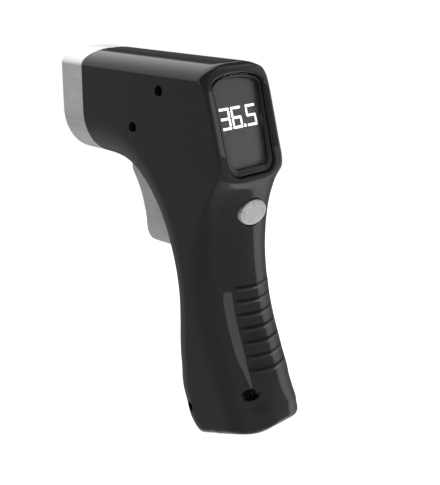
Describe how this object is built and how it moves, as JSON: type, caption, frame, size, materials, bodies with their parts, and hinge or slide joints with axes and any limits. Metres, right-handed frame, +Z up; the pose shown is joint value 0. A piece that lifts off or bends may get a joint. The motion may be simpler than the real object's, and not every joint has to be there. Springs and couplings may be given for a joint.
{
  "type": "forehead thermometer",
  "caption": "Pistol-form forehead thermometer: black shells, silver nose, trigger, upright display, oval mode button and a hinged battery door.",
  "frame": {"origin": "centre of the flat base, on the surface it stands on", "axes": "+X forward to the nose, +Y to the left side, +Z up with the thermometer standing on its base"},
  "size_m": [0.1025, 0.04, 0.1878],
  "materials": {
    "black_plastic": "gloss",
    "dark_plastic": "matt",
    "silver_paint": "satin silver",
    "steel": "bright",
    "plated_steel": "plated",
    "board_green": "satin",
    "chip_black": "matt",
    "clear_lens": "clear",
    "lcd_grey": "smooth",
    "white_plastic": "satin",
    "can_metal": "satin",
    "filter_glass": "dark coated",
    "grey_rubber": "matt",
    "cell_wrap": "printed sleeve, plain"
  },
  "bodies": {
    "body": {"left_shell": "black_plastic", "right_shell": "black_plastic", "nose_plate": "dark_plastic", "sensor_holder": "dark_plastic", "display_bezel": "dark_plastic", "battery_tray": "dark_plastic", "nose_ring": "silver_paint", "trigger_pin": "steel", "trigger_spring": "steel", "board_screw_a": "steel", "board_screw_b": "steel", "battery_door_pin": "steel", "battery_spring_a": "steel", "battery_spring_b": "steel", "shell_screw_a": "steel", "shell_screw_b": "steel", "shell_screw_c": "steel", "shell_screw_d": "steel", "crystal": "steel", "sensor_lead_a": "plated_steel", "sensor_lead_b": "plated_steel", "sensor_lead_c": "plated_steel", "sensor_lead_d": "plated_steel", "contact_plate_upper": "plated_steel", "contact_plate_lower": "plated_steel", "sensor_board": "board_green", "trigger_switch_board": "board_green", "main_board": "board_green", "button_board": "board_green", "trigger_switch_body": "chip_black", "main_chip": "chip_black", "display_driver": "chip_black", "capacitor": "chip_black", "buzzer": "chip_black", "button_switch_body": "chip_black", "display_lens": "clear_lens", "lcd_glass": "lcd_grey", "lcd_rear_glass": "lcd_grey", "lcd_frame": "white_plastic", "backlight_panel": "white_plastic", "sensor_funnel": "can_metal", "thermopile_can": "can_metal", "thermopile_window": "filter_glass", "lcd_contact_strip": "grey_rubber", "battery_a": "cell_wrap", "battery_b": "cell_wrap"},
    "trigger": {"trigger": "silver_paint"},
    "trigger_plunger": {"trigger_switch_plunger": "white_plastic"},
    "button": {"mode_button": "silver_paint"},
    "button_plunger": {"button_switch_plunger": "white_plastic"},
    "door": {"battery_door": "black_plastic"}
  },
  "joints": [
    {"name": "trigger_pull", "type": "hinge", "parent": "body", "child": "trigger", "pos_m": [0.02137, 0, 0.13285], "axis": [0, 1, 0], "range_deg": [0, 6], "stiffness_Nm_per_rad": 0.15, "springref_deg": -8.59},
    {"name": "trigger_switch_press", "type": "slide", "parent": "body", "child": "trigger_plunger", "axis": [-0.9468, 0, -0.3219], "range_m": [0, 0.0004]},
    {"name": "mode_press", "type": "slide", "parent": "body", "child": "button", "axis": [0.9468, 0, 0.3219], "range_m": [0, 0.0007], "stiffness_N_per_m": 1500, "springref_m": -0.0007},
    {"name": "mode_switch_press", "type": "slide", "parent": "body", "child": "button_plunger", "axis": [0.9468, 0, 0.3219], "range_m": [0, 0.00035]},
    {"name": "battery_door_open", "type": "hinge", "parent": "body", "child": "door", "pos_m": [0.02092, 0, 0.01799], "axis": [0, 1, 0], "range_deg": [0, 60]}
  ],
  "couplings": [
    {"joint": "trigger_switch_press", "follows": "trigger_pull", "m_per_rad": 0.0038},
    {"joint": "mode_switch_press", "follows": "mode_press", "ratio": 0.5}
  ]
}
